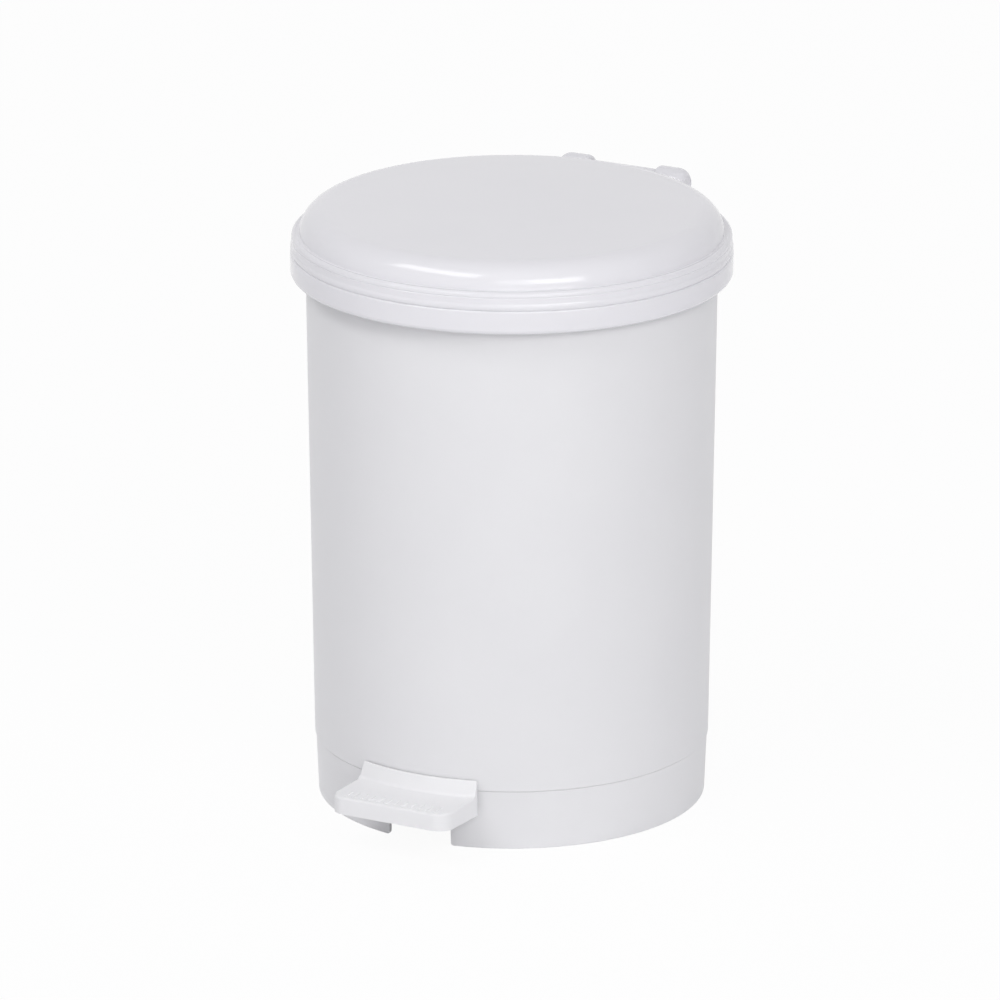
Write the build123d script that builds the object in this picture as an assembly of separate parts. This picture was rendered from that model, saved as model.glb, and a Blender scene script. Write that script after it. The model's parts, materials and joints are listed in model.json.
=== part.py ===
from build123d import *

import os
from math import asin, atan2, cos, degrees, radians, sin, sqrt

# A round white pedal bin. Millimetres, +Z up, origin on the floor at the centre of the base.
# The pedal faces -Y and the lid hinge is at the back, on +Y.

# Drum and plinth
seam_height = 345.4         # floor to the line between collar and lid
plinth_height = 37.0        # floor to the drum's lower edge
drum_bottom_radius = 121.4
drum_top_radius = 125.75
drum_wall = 2.2
drum_edge_round = 1.2
foot_flange = 2.5           # in-turned flange that the drum stands on
plinth_setback = 0.7        # plinth's top edge inside the drum's lower edge
plinth_taper = 1.5          # radius that the plinth loses from its top to its foot
plinth_wall = 2.5
plinth_foot_round = 0.6
tongue_height = 10.0        # ring of the plinth that reaches up into the drum
tongue_wall = 2.5
floor_height = 6.0
floor_thickness = 2.5
notch_half_width = 21.3     # opening of the plinth for the pedal's strap
notch_headroom = 3.0        # plinth left above that opening
seat_clearance = 0.15       # between parts that push together

# Collar
collar_overhang = 9.25      # collar face outside the drum's top
collar_drop = 14.8          # height of the collar's outer skirt
collar_wall = 2.5
collar_lower_round = 3.0
collar_upper_round = 0.9
spigot_depth = 14.0         # ring of the collar that reaches down into the drum
spigot_wall = 2.2
bucket_seat_depth = 22.4    # seam down to the ledge that carries the bucket
bucket_seat_width = 8.2     # ledge that carries the bucket's flange
slot_half_width = 13.0      # rear slot for the push rod and the lift ribs

# Lid
lid_wall = 2.2
lid_gap = 0.4               # shadow line between collar and lid
lip_height = 4.4            # rolled lip at the lid's lower edge
lip_bulge = 0.7
rim_setback = 0.8           # rim band inside the collar's face
groove_height = 8.0         # fine groove round the rim, above the seam
groove_depth = 0.7
rim_height = 11.4           # top of the rim band above the seam
rim_round = 2.4
valley_width = 2.2          # shallow valley between rim and dome
valley_depth = 0.4
shoulder_radius = 16.6
shoulder_draft = 6.0        # degrees off upright where the dome starts
crown_slope = 2.4           # degrees, at the edge of the flat crown
stop_ring_wall = 2.0
buffer_height = 1.7
buffer_radius = 4.0
buffer_stem_radius = 1.8
buffer_side_gap = 0.5       # buffer to the inside of the rim
buffer_angles = (35, 145, 215, 325)

# Lid hinge
hinge_setback = 12.0        # collar face to the hinge axis
hinge_rise = 9.2            # hinge axis above the seam
pin_radius = 3.0
lobe_radius = 9.8
lobe_inner = 23.0
lobe_outer = 45.0
lobe_end_round = 8.0
hinge_side_gap = 0.6
bracket_knuckle_radius = 7.0
bracket_height = 12.0       # height of the bracket's root on the collar
plug_radius = 5.2
plug_length = 3.0
plug_recess = 1.0           # plug inside the lobe's rounded end
running_fit = 0.06
press_fit = 0.02

# Push rod and lift ribs
lift_arm = 31.5             # hinge axis to the lift pin, front to back
lift_drop = 16.05           # lift pin below the hinge axis
lift_gap = 0.2              # rod head below the lift pin
rib_inner = 6.2
rib_wall = 2.8
rib_reach = 5.5             # rib beyond the lift pin, to front and back
rod_radius = 2.5
rod_inset = 10.7            # rod centre inside the drum's inner wall, at its narrower end
rod_travel = 39.25
head_half_width = 5.0
head_thickness = 4.0
head_front = 3.5            # pusher in front of the rod
head_reach = 4.8            # pusher behind the lift pin
guide_height = 10.0
guide_half_width = 10.0
guide_wall = 2.4
guide_clearance = 6.5       # fork below the lower guide, at the end of its travel
guide_top_drop = 38.0       # seam down to the top of the upper guide

# Pedal, lever and axle
tread_depth = 32.0          # pedal back to the front edge
tread_half_width = 40.2
tread_height = 35.2         # floor to the tread
lip_drop = 10.8             # height of the tread's front face
skirt_drop = 12.5           # height of the side skirts at the back
pedal_wall = 2.5
pedal_gap = 3.3             # pedal back in front of the drum, at the tread
pedal_back_lean = 3.7       # top of the pedal back behind its foot
pedal_crest = 1.5           # thickness of the pedal back at its top
pedal_back_height = 44.5    # floor to the top of the upright back
pedal_corner = 9.5
pedal_edge_round = 1.6
grip_bar_length = 8.0
grip_bar_width = 2.0
grip_bar_height = 0.6
grip_bar_count = 12
grip_bar_inset = 3.6        # front edge to the row of bars
pivot_back = 51.4           # pedal face of the drum back to the axle
pivot_height = 27.0
axle_radius = 3.0
bush_wall = 1.5
bush_length = 10.0
bush_flange_radius = 6.5
bush_flange = 1.0
hub_wall = 2.6
hub_half_length = 15.0
post_gap = 0.8              # bush flange to axle post
post_width = 8.0
post_length = 26.0
saddle_height = 9.0
strap_width = 16.0
strap_thickness = 3.0
tail_height = 16.0          # floor to the tail pin
tail_eye_radius = 5.5
tail_pin_radius = 2.5
fork_gap = 0.8
fork_wall = 3.0
fork_foot = 6.0             # fork below and behind the tail pin
fork_slot_front = 2.3       # room for the pin's arc, towards the front
fork_slot_back = 0.7
fork_slot_play = 0.3
fork_block_height = 10.0

# Screws
screw_radius = 1.4
screw_head_radius = 3.0
screw_head_height = 2.0
screw_bite = 6.0            # length in the piece that it holds
screw_clearance = 0.2
screw_pad_width = 12.0
base_screw_angles = (45, 135, 225, 315)

# Bucket and bail
bucket_floor_height = 62.0
bucket_taper = 8.5          # radius that the bucket loses from its rim to its foot
bucket_wall = 2.0
bucket_guide_gap = 0.3      # bucket's top edge in front of the rod guides
bucket_play = 2.5           # bucket wall to the ledge's edge
bucket_flange = 2.0
bucket_flange_play = 2.0    # flange edge to the collar's sleeve
bucket_flange_root = 0.5    # flange left where it is cut flat at the rear, in front of the rod
bucket_foot_round = 8.0
bail_radius = 1.75
bail_bend = 4.0
bail_rise = 5.2             # bail axis above the bucket's flange
bail_side_gap = 0.6         # ear to the start of the bail's bend
ear_thickness = 5.0
ear_length = 12.0
grip_radius = 4.5
grip_half_angle = 22.0

# Levels and radii that follow from the sizes above
drum_top = seam_height - collar_wall
drum_slope = (drum_top_radius - drum_bottom_radius) / (drum_top - plinth_height)
plinth_radius = drum_bottom_radius - plinth_setback
plinth_foot_radius = plinth_radius - plinth_taper
plinth_inner = plinth_foot_radius - plinth_wall
tongue_radius = plinth_inner - seat_clearance
tongue_inner = tongue_radius - tongue_wall
tongue_top = plinth_height + tongue_height
floor_top = floor_height + floor_thickness
collar_radius = drum_top_radius + collar_overhang
collar_bottom = seam_height - collar_drop
seat_height = seam_height - bucket_seat_depth
drum_top_inner = drum_top_radius - drum_wall
slot_back = drum_top_inner + seat_clearance

hinge_y = collar_radius + hinge_setback
hinge_z = seam_height + hinge_rise
plug_outer = lobe_outer - plug_recess
plug_inner = plug_outer - plug_length
lift_y = hinge_y - lift_arm
lift_z = hinge_z - lift_drop

rod_y = min(drum_bottom_radius, drum_top_radius) - drum_wall - rod_inset
head_top = lift_z - pin_radius - lift_gap
head_bottom = head_top - head_thickness

pedal_radius = drum_bottom_radius + pedal_gap
pedal_face = pedal_radius + pedal_wall
tread_front = -(pedal_face + tread_depth)
pivot_y = -(drum_bottom_radius - pivot_back)
hub_bore = axle_radius + bush_wall
hub_radius = hub_bore + hub_wall
post_inner = hub_half_length + bush_flange + post_gap
post_outer = post_inner + post_width
post_middle = (post_inner + post_outer) / 2
saddle_screw_offset = (post_length / 2 + axle_radius) / 2

fork_inner = strap_width / 2 + fork_gap
fork_outer = fork_inner + fork_wall
fork_block_bottom = tail_height + tail_eye_radius + fork_gap
fork_top = fork_block_bottom + fork_block_height

bucket_top_radius = rod_y - rod_radius - guide_wall - bucket_guide_gap
bucket_bottom_radius = bucket_top_radius - bucket_taper
ledge_radius = bucket_top_radius + bucket_play
mouth_radius = ledge_radius + bucket_seat_width
bucket_flange_radius = mouth_radius - bucket_flange_play
bucket_rim = seat_height + bucket_flange
bail_axis_z = bucket_rim + bail_rise
ear_x = (bucket_top_radius + bucket_flange_radius) / 2
bail_leg_x = ear_x - ear_thickness / 2 - bail_side_gap - bail_bend


def drum_radius(z):
    """Outer radius of the tapered drum at a height."""
    return drum_bottom_radius + drum_slope * (z - plinth_height)


def turned(*edges):
    """A solid of revolution from the edges of a closed radius and height outline."""
    return revolve(make_face(Plane.XZ * Curve(list(edges))), Axis.Z)


def turned_outline(points):
    """A solid of revolution from straight runs between radius and height points."""
    return revolve(make_face(Plane.XZ * Polyline(*points, close=True)), Axis.Z)


def side_plate(points, x_from, x_to):
    """A plate across X from a front-to-back outline of Y and Z points."""
    outline = make_face(Plane.YZ * Polyline(*points, close=True))
    return Pos(x_from, 0, 0) * extrude(outline, x_to - x_from, dir=(1, 0, 0))


def cross_bar(radius, x_from, x_to, y, z):
    """A round bar across X."""
    return Pos((x_from + x_to) / 2, y, z) * Rot(0, 90, 0) * Cylinder(radius, x_to - x_from)


def upright(radius, x, y, z_from, z_to):
    """A round bar along Z."""
    return Pos(x, y, (z_from + z_to) / 2) * Cylinder(radius, z_to - z_from)


def block(x_from, x_to, y_from, y_to, z_from, z_to):
    """A box between two corners."""
    middle = Pos((x_from + x_to) / 2, (y_from + y_to) / 2, (z_from + z_to) / 2)
    return middle * Box(x_to - x_from, y_to - y_from, z_to - z_from)


def screw(length):
    """A screw with its head on top, its bearing face at the origin and its shank along -Z."""
    head = upright(screw_head_radius, 0, 0, 0, screw_head_height)
    rounded = fillet(head.edges().group_by(Axis.Z)[-1], screw_head_height / 2)
    return rounded + upright(screw_radius, 0, 0, -length, 0)


def radial(angle, z):
    """A place on the drum's axis whose own -Z runs outwards at an angle round the bin."""
    return Pos(0, 0, z) * Rot(0, 0, angle) * Rot(0, -90, 0)


# Screws that hold the plinth's tongue inside the drum
base_screw_z = plinth_height + foot_flange + tongue_height / 2 - foot_flange / 2
base_screw_seat = sqrt(tongue_inner ** 2 - screw_head_radius ** 2)
base_screw_length = drum_radius(base_screw_z) - drum_wall / 2 - base_screw_seat


def base_screw_place(angle):
    """Seat of one base screw, on the inner face of the tongue."""
    return radial(angle, base_screw_z) * Pos(0, 0, -base_screw_seat)


def make_drum_shell():
    inner_foot = plinth_height + foot_flange
    shell = turned_outline([
        (plinth_inner, plinth_height),
        (drum_bottom_radius - drum_edge_round, plinth_height),
        (drum_bottom_radius, plinth_height + drum_edge_round),
        (drum_top_radius, drum_top),
        (drum_top_inner, drum_top),
        (drum_radius(inner_foot) - drum_wall, inner_foot),
        (plinth_inner, inner_foot),
    ])
    pad_height = tongue_top - inner_foot
    for angle in base_screw_angles:
        pad_depth = drum_bottom_radius - drum_wall / 2 - plinth_inner
        pad = Pos(plinth_inner + pad_depth / 2, 0, inner_foot + pad_height / 2) * Box(
            pad_depth, screw_pad_width, pad_height + foot_flange)
        pilot = base_screw_place(angle) * upright(screw_radius + press_fit, 0, 0, -base_screw_length, 0)
        shell = shell + Rot(0, 0, angle) * pad - pilot
    return shell


def make_base_plinth():
    shoulder = plinth_height - tongue_wall
    foot = plinth_foot_round
    ring = turned_outline([
        (plinth_inner, 0),
        (plinth_foot_radius - foot, 0),
        (plinth_foot_radius, foot),
        (plinth_radius, plinth_height),
        (tongue_radius, plinth_height),
        (tongue_radius, tongue_top),
        (tongue_inner, tongue_top),
        (tongue_inner, shoulder),
        (plinth_inner, shoulder - tongue_wall),
    ])
    floor = upright(plinth_inner + plinth_wall / 2, 0, 0, floor_height, floor_top)
    notch_back = pivot_y - post_length / 2 - floor_thickness
    notch = block(-notch_half_width, notch_half_width, -collar_radius, notch_back,
                  -floor_height, plinth_height - notch_headroom)
    base = ring + floor - notch
    tail_room = block(-slot_half_width, slot_half_width, 0, plinth_inner, shoulder - tongue_wall, collar_bottom)
    base = base - tail_room
    for angle in base_screw_angles:
        base = base - base_screw_place(angle) * upright(
            screw_radius + screw_clearance, 0, 0, -2 * tongue_wall, tongue_wall)
    bore = cross_bar(axle_radius + press_fit, -post_outer, post_outer, pivot_y, pivot_height)
    for side in (-1, 1):
        post = Pos(side * post_middle, pivot_y, (floor_height + pivot_height) / 2) * Box(
            post_width, post_length, pivot_height - floor_height)
        base = base + post
        for end in (-1, 1):
            base = base - upright(screw_radius + press_fit, side * post_middle,
                                  pivot_y + end * saddle_screw_offset, pivot_height - screw_bite, pivot_height)
    return base - bore


def make_axle_saddle(side):
    cap = Pos(side * post_middle, pivot_y, pivot_height + saddle_height / 2) * Box(
        post_width, post_length, saddle_height)
    cap = fillet(cap.edges().filter_by(Axis.X).group_by(Axis.Z)[-1], saddle_height / 3)
    for end in (-1, 1):
        cap = cap - upright(screw_radius + screw_clearance, side * post_middle,
                            pivot_y + end * saddle_screw_offset, pivot_height, pivot_height + saddle_height)
    return cap - cross_bar(axle_radius + press_fit, -post_outer, post_outer, pivot_y, pivot_height)


def saddle_screw_set():
    screws = []
    for side in (-1, 1):
        for end in (-1, 1):
            place = Pos(side * post_middle, pivot_y + end * saddle_screw_offset, pivot_height + saddle_height)
            screws.append(place * screw(saddle_height + screw_bite))
    return screws


def make_top_collar():
    skirt_inner = collar_radius - collar_wall
    low = collar_lower_round
    high = collar_upper_round
    bend = cos(radians(45))
    rim = turned(
        Polyline((mouth_radius, seam_height), (collar_radius - high, seam_height)),
        ThreePointArc((collar_radius - high, seam_height),
                      (collar_radius - high * (1 - bend), seam_height - high * (1 - bend)),
                      (collar_radius, seam_height - high)),
        Line((collar_radius, seam_height - high), (collar_radius, collar_bottom + low)),
        ThreePointArc((collar_radius, collar_bottom + low),
                      (collar_radius - low * (1 - bend), collar_bottom + low * (1 - bend)),
                      (collar_radius - low, collar_bottom)),
        Polyline((collar_radius - low, collar_bottom),
                 (min(skirt_inner, collar_radius - low) - seat_clearance, collar_bottom),
                 (skirt_inner, collar_bottom + low),
                 (skirt_inner, drum_top),
                 (mouth_radius, drum_top),
                 (mouth_radius, seam_height)),
    )
    mid_deck = seam_height - collar_wall / 2
    spigot_bottom = drum_top - spigot_depth
    spigot_radius = min(drum_radius(spigot_bottom), drum_top_radius) - drum_wall - seat_clearance
    spigot = turned_outline([
        (spigot_radius - spigot_wall, spigot_bottom),
        (spigot_radius, spigot_bottom),
        (spigot_radius, mid_deck),
        (spigot_radius - spigot_wall, mid_deck),
    ])
    ledge_bottom = seat_height - spigot_wall
    sleeve = turned_outline([
        (ledge_radius, ledge_bottom),
        (mouth_radius + spigot_wall, ledge_bottom),
        (mouth_radius + spigot_wall, mid_deck),
        (mouth_radius, mid_deck),
        (mouth_radius, seat_height),
        (ledge_radius, seat_height),
    ])
    slot = block(-slot_half_width, slot_half_width, 0, slot_back, ledge_bottom - spigot_wall, seam_height + collar_wall)
    ring = rim + spigot + sleeve - slot
    for angle in buffer_angles:
        ring = ring - Rot(0, 0, angle) * upright(buffer_stem_radius + press_fit, buffer_circle(), 0,
                                                 drum_top, seam_height)
    half = lobe_inner - hinge_side_gap
    root_y = sqrt(collar_radius ** 2 - half ** 2) - collar_wall
    root_top = seam_height - collar_upper_round
    knuckle = cross_bar(bracket_knuckle_radius, -half, half, hinge_y, hinge_z)
    lean = bracket_knuckle_radius * cos(radians(45))
    web = side_plate([
        (root_y, root_top - bracket_height),
        (collar_radius, root_top - bracket_height),
        (hinge_y + bracket_knuckle_radius, hinge_z),
        (hinge_y, hinge_z),
        (hinge_y - lean, hinge_z - lean / 2),
        (collar_radius, root_top),
        (root_y, root_top),
    ], -half, half)
    bore = cross_bar(pin_radius + press_fit, -half, half, hinge_y, hinge_z)
    return ring + web + knuckle - bore


def buffer_circle():
    """Radius of the circle of buffers, under the lid's stop ring."""
    return collar_radius - rim_setback - lid_wall - buffer_radius - buffer_side_gap


def lid_buffer_set():
    top = seam_height + buffer_height
    cap = upright(buffer_radius, 0, 0, seam_height, top)
    cap = fillet(cap.edges().group_by(Axis.Z)[-1], buffer_height / 3)
    plug = cap + upright(buffer_stem_radius, 0, 0, drum_top, seam_height)
    return [Rot(0, 0, angle) * Pos(buffer_circle(), 0, 0) * plug for angle in buffer_angles]


# Outline of the lid, as heights above the seam
rim_radius = collar_radius - rim_setback
rim_top_radius = rim_radius - rim_round
dome_radius = rim_top_radius - valley_width
dome_foot = rim_height + valley_depth
draft = radians(shoulder_draft)
slope = radians(crown_slope)
shoulder_r = dome_radius - shoulder_radius * cos(draft)
shoulder_z = dome_foot - shoulder_radius * sin(draft)


def shoulder_point(angle, depth):
    """Radius and height on the shoulder, or a depth inside it, at an angle above level."""
    reach = shoulder_radius - depth
    return (shoulder_r + reach * cos(angle), shoulder_z + reach * sin(angle))


crown_edge = shoulder_r + shoulder_radius * sin(slope)
crown_radius = crown_edge / sin(slope)
crown_centre = shoulder_z + shoulder_radius * cos(slope) - crown_radius * cos(slope)


def crown_point(angle, depth):
    """Radius and height on the crown, or a depth inside it, at an angle off the axis."""
    reach = crown_radius - depth
    return (reach * sin(angle), crown_centre + reach * cos(angle))


def lid_height(radius, depth):
    """Height above the seam of the dome, or of a surface a depth inside it, at a radius."""
    if radius < crown_edge:
        return crown_centre + sqrt((crown_radius - depth) ** 2 - radius ** 2)
    return shoulder_z + sqrt((shoulder_radius - depth) ** 2 - (radius - shoulder_r) ** 2)


def dome_edges(depth):
    """Shoulder and crown arcs from the foot of the dome to the axis."""
    top = radians(90) - slope
    middle = (draft + top) / 2
    return [
        ThreePointArc(shoulder_point(draft, depth), shoulder_point(middle, depth), shoulder_point(top, depth)),
        ThreePointArc(crown_point(slope, depth), crown_point(slope / 2, depth), crown_point(0, depth)),
    ]


def lid_outer_edges():
    lip_top = lid_gap + lip_height
    bend = cos(radians(45))
    band_top = rim_height - rim_round
    groove = groove_depth
    return [
        Line((0, lid_gap), (rim_radius, lid_gap)),
        ThreePointArc((rim_radius, lid_gap), (rim_radius + lip_bulge, lid_gap + lip_height / 2),
                      (rim_radius, lip_top)),
        Polyline((rim_radius, lip_top), (rim_radius, groove_height - groove),
                 (rim_radius - groove, groove_height), (rim_radius, groove_height + groove),
                 (rim_radius, band_top)),
        ThreePointArc((rim_radius, band_top), (rim_top_radius + rim_round * bend, band_top + rim_round * bend),
                      (rim_top_radius, rim_height)),
        ThreePointArc((rim_top_radius, rim_height),
                      (rim_top_radius - valley_width / 2, rim_height - valley_depth),
                      (dome_radius, dome_foot)),
        *dome_edges(0),
        Line(crown_point(0, 0), (0, lid_gap)),
    ]


def lid_inner_edges():
    band_inner = rim_radius - lid_wall
    ceiling = rim_height - rim_round
    foot = shoulder_point(draft, lid_wall)
    return [
        Polyline((0, 0), (band_inner, 0), (band_inner, ceiling - lid_wall), (rim_top_radius - lid_wall / 2, ceiling),
                 (foot[0], ceiling), foot),
        *dome_edges(lid_wall),
        Line(crown_point(0, lid_wall), (0, 0)),
    ]


def make_lid():
    at_seam = Pos(0, 0, seam_height)
    shell = at_seam * (turned(*lid_outer_edges()) - turned(*lid_inner_edges()))
    ring_middle = buffer_circle()
    ring_bottom = seam_height + buffer_height + lift_gap
    stop_ring = turned_outline([
        (ring_middle - stop_ring_wall / 2, ring_bottom),
        (ring_middle + stop_ring_wall / 2, ring_bottom),
        (ring_middle + stop_ring_wall / 2, seam_height + rim_height + lid_wall),
        (ring_middle - stop_ring_wall / 2, seam_height + rim_height + lid_wall),
    ])
    lid = shell + stop_ring
    for side in (-1, 1):
        lid = lid + make_hinge_lobe(side) + make_lift_rib(side)
    pin_hole = cross_bar(pin_radius + running_fit, -lobe_outer, lobe_outer, hinge_y, hinge_z)
    lift_hole = cross_bar(pin_radius + press_fit, -rib_inner - rib_wall, rib_inner + rib_wall, lift_y, lift_z)
    lid = lid - pin_hole - lift_hole
    for side in (-1, 1):
        seat = sorted((side * plug_inner, side * lobe_outer))
        lid = lid - cross_bar(plug_radius + press_fit, seat[0], seat[1], hinge_y, hinge_z)
    return lid


def make_hinge_plug(side):
    ends = sorted((side * plug_inner, side * plug_outer))
    return cross_bar(plug_radius, ends[0], ends[1], hinge_y, hinge_z)


def make_hinge_lobe(side):
    ends = sorted((side * lobe_inner, side * lobe_outer))
    lobe = cross_bar(lobe_radius, ends[0], ends[1], hinge_y, hinge_z)
    outer_edge = lobe.edges().filter_by(GeomType.CIRCLE).sort_by(Axis.X)[-1 if side > 0 else 0]
    lobe = fillet(outer_edge, lobe_end_round)
    arm_y = sqrt((rim_radius - lid_wall) ** 2 - (lobe_outer - lobe_end_round) ** 2)
    arm_ends = sorted((side * lobe_inner, side * (lobe_outer - lobe_end_round)))
    arm = side_plate([
        (arm_y, seam_height + lid_gap),
        (hinge_y, seam_height + lid_gap),
        (hinge_y, hinge_z + lobe_radius),
        (arm_y, seam_height + rim_height - lid_wall / 2),
    ], arm_ends[0], arm_ends[1])
    return lobe + arm


def make_lift_rib(side):
    ends = sorted((side * rib_inner, side * (rib_inner + rib_wall)))
    mid_wall = lid_wall / 2
    front = lift_y - 2 * rib_reach
    back = lift_y + rib_reach
    return side_plate([
        (front, seam_height + lid_height(front, mid_wall)),
        (lift_y - rib_reach, lift_z - pin_radius - head_thickness / 4),
        (lift_y + rib_reach, lift_z - pin_radius - head_thickness / 4),
        (back, seam_height + lid_height(back + rib_wall / 2, mid_wall)),
    ], ends[0], ends[1])


def make_rod_guide(z_top):
    z_low = z_top - guide_height
    wall_r = min(drum_radius(z_low), drum_radius(z_top)) - drum_wall - seat_clearance
    body = block(-guide_half_width, guide_half_width, rod_y - rod_radius - guide_wall, collar_radius, z_low, z_top)
    body = body & upright(wall_r, 0, 0, z_low, z_top)
    return body - upright(rod_radius + running_fit, 0, rod_y, z_low, z_top)


def make_pedal():
    top = tread_height
    wall = pedal_wall
    half = tread_half_width
    span = asin(half / pedal_face)
    reach = -(drum_bottom_radius - wall) * cos(span)
    outer = side_plate([
        (reach, top - skirt_drop),
        (tread_front, top - lip_drop),
        (tread_front, top),
        (reach, top),
    ], -half, half)
    corners = outer.edges().filter_by(Axis.Z).group_by(Axis.Y)[0]
    outer = fillet(corners, pedal_corner)
    outer = fillet(outer.faces().sort_by(Axis.Z)[-1].edges().group_by(Axis.Y)[0], pedal_edge_round)
    inner = side_plate([
        (reach + wall, top - 2 * skirt_drop),
        (tread_front + wall, top - 2 * skirt_drop),
        (tread_front + wall, top - wall),
        (reach + wall, top - wall),
    ], -half + wall, half - wall)
    inner = fillet(inner.edges().filter_by(Axis.Z).group_by(Axis.Y)[0], pedal_corner - wall)
    tray = outer - inner - upright(pedal_radius, 0, 0, -collar_radius, collar_radius)
    crest = pedal_face - pedal_back_lean
    back_profile = make_face(Plane.XZ * Polyline(
        (pedal_radius, top - skirt_drop), (pedal_face, top - skirt_drop), (pedal_face, top),
        (crest, pedal_back_height), (crest - pedal_crest, pedal_back_height), (pedal_radius, top), close=True))
    back = Rot(0, 0, -90 - degrees(span)) * revolve(back_profile, Axis.Z, 2 * degrees(span))
    notch = block(-strap_width / 2 - fork_gap, strap_width / 2 + fork_gap, -pedal_face - wall, 0,
                  0, pivot_height + strap_thickness / 2)
    body = tray + back - notch
    for place in pedal_screw_places():
        boss_bottom = pivot_height + strap_thickness / 2
        boss = upright(screw_head_radius + screw_clearance, 0, place, boss_bottom, top - wall / 2)
        body = body + boss - upright(screw_radius + press_fit, 0, place, boss_bottom, boss_bottom + pedal_boss_bite())
    for bar in grip_bars():
        body = body + bar
    return body


def pedal_boss_bite():
    """Depth of the pilot holes, which stop inside the tread."""
    return tread_height - pedal_wall / 2 - pivot_height - strap_thickness / 2


def pedal_screw_places():
    """Front-to-back places of the two screws under the tread."""
    return [-pedal_face - tread_depth * share for share in (0.3, 0.7)]


def grip_bars():
    """A row of short raised bars along the tread's front edge."""
    run = tread_half_width - pedal_corner
    y = tread_front + grip_bar_inset + grip_bar_length / 2
    bars = []
    for step in range(grip_bar_count):
        x = -run + 2 * run * step / (grip_bar_count - 1)
        bars.append(Pos(x, y, tread_height) * Box(grip_bar_width, grip_bar_length, 2 * grip_bar_height))
    return bars


def make_pedal_lever():
    half = strap_width / 2
    thick = strap_thickness / 2
    nose = tread_front + 2 * pedal_wall
    lean = atan2(tail_height - pivot_height, rod_y - pivot_y)
    rise = thick / cos(lean)
    strap = side_plate([
        (nose, pivot_height - thick),
        (pivot_y, pivot_height - thick),
        (rod_y, tail_height - rise),
        (rod_y, tail_height + rise),
        (pivot_y, pivot_height + thick),
        (nose, pivot_height + thick),
    ], -half, half)
    hub = cross_bar(hub_radius, -hub_half_length, hub_half_length, pivot_y, pivot_height)
    eye = cross_bar(tail_eye_radius, -half, half, rod_y, tail_height)
    lever = strap + hub + eye
    lever = lever - cross_bar(hub_bore + press_fit, -hub_half_length, hub_half_length, pivot_y, pivot_height)
    lever = lever - cross_bar(tail_pin_radius + press_fit, -half, half, rod_y, tail_height)
    for place in pedal_screw_places():
        lever = lever - upright(screw_radius + screw_clearance, 0, place, 0, seam_height)
    return lever


def pedal_screw_set():
    seat = pivot_height - strap_thickness / 2
    length = strap_thickness + pedal_boss_bite()
    return [Pos(0, place, seat) * Rot(180, 0, 0) * screw(length) for place in pedal_screw_places()]


def make_axle_bush(side):
    inner_end = hub_half_length - bush_length
    sleeve_ends = sorted((side * inner_end, side * hub_half_length))
    flange_ends = sorted((side * hub_half_length, side * (hub_half_length + bush_flange)))
    sleeve = cross_bar(hub_bore, sleeve_ends[0], sleeve_ends[1], pivot_y, pivot_height)
    flange = cross_bar(bush_flange_radius, flange_ends[0], flange_ends[1], pivot_y, pivot_height)
    bore = cross_bar(axle_radius + running_fit, -post_outer, post_outer, pivot_y, pivot_height)
    return sleeve + flange - bore


def make_rod_fork():
    front = rod_y - fork_slot_front - tail_pin_radius - fork_wall
    back = rod_y + fork_foot
    body = block(-fork_outer, fork_outer, front, back, tail_height - fork_foot, fork_top)
    gap = block(-fork_inner, fork_inner, front, back, tail_height - fork_foot, fork_block_bottom)
    slot_half = tail_pin_radius + fork_slot_play
    slot = block(-fork_outer, fork_outer, rod_y - fork_slot_front, rod_y + fork_slot_back,
                 tail_height - slot_half, tail_height + slot_half)
    slot = slot + cross_bar(slot_half, -fork_outer, fork_outer, rod_y - fork_slot_front, tail_height)
    slot = slot + cross_bar(slot_half, -fork_outer, fork_outer, rod_y + fork_slot_back, tail_height)
    socket = upright(rod_radius + press_fit, 0, rod_y, fork_block_bottom + fork_gap, fork_top)
    return body - gap - slot - socket


def make_push_rod():
    return upright(rod_radius, 0, rod_y, fork_block_bottom + fork_gap, head_bottom + head_thickness / 2)


def make_rod_head():
    front = min(rod_y - head_front, lift_y - head_reach)
    back = max(rod_y + head_front, lift_y + head_reach)
    body = block(-head_half_width, head_half_width, front, back, head_bottom, head_top)
    body = fillet(body.edges().filter_by(Axis.Z), head_half_width / 2)
    return body - upright(rod_radius + press_fit, 0, rod_y, head_bottom, head_bottom + head_thickness / 2)


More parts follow.
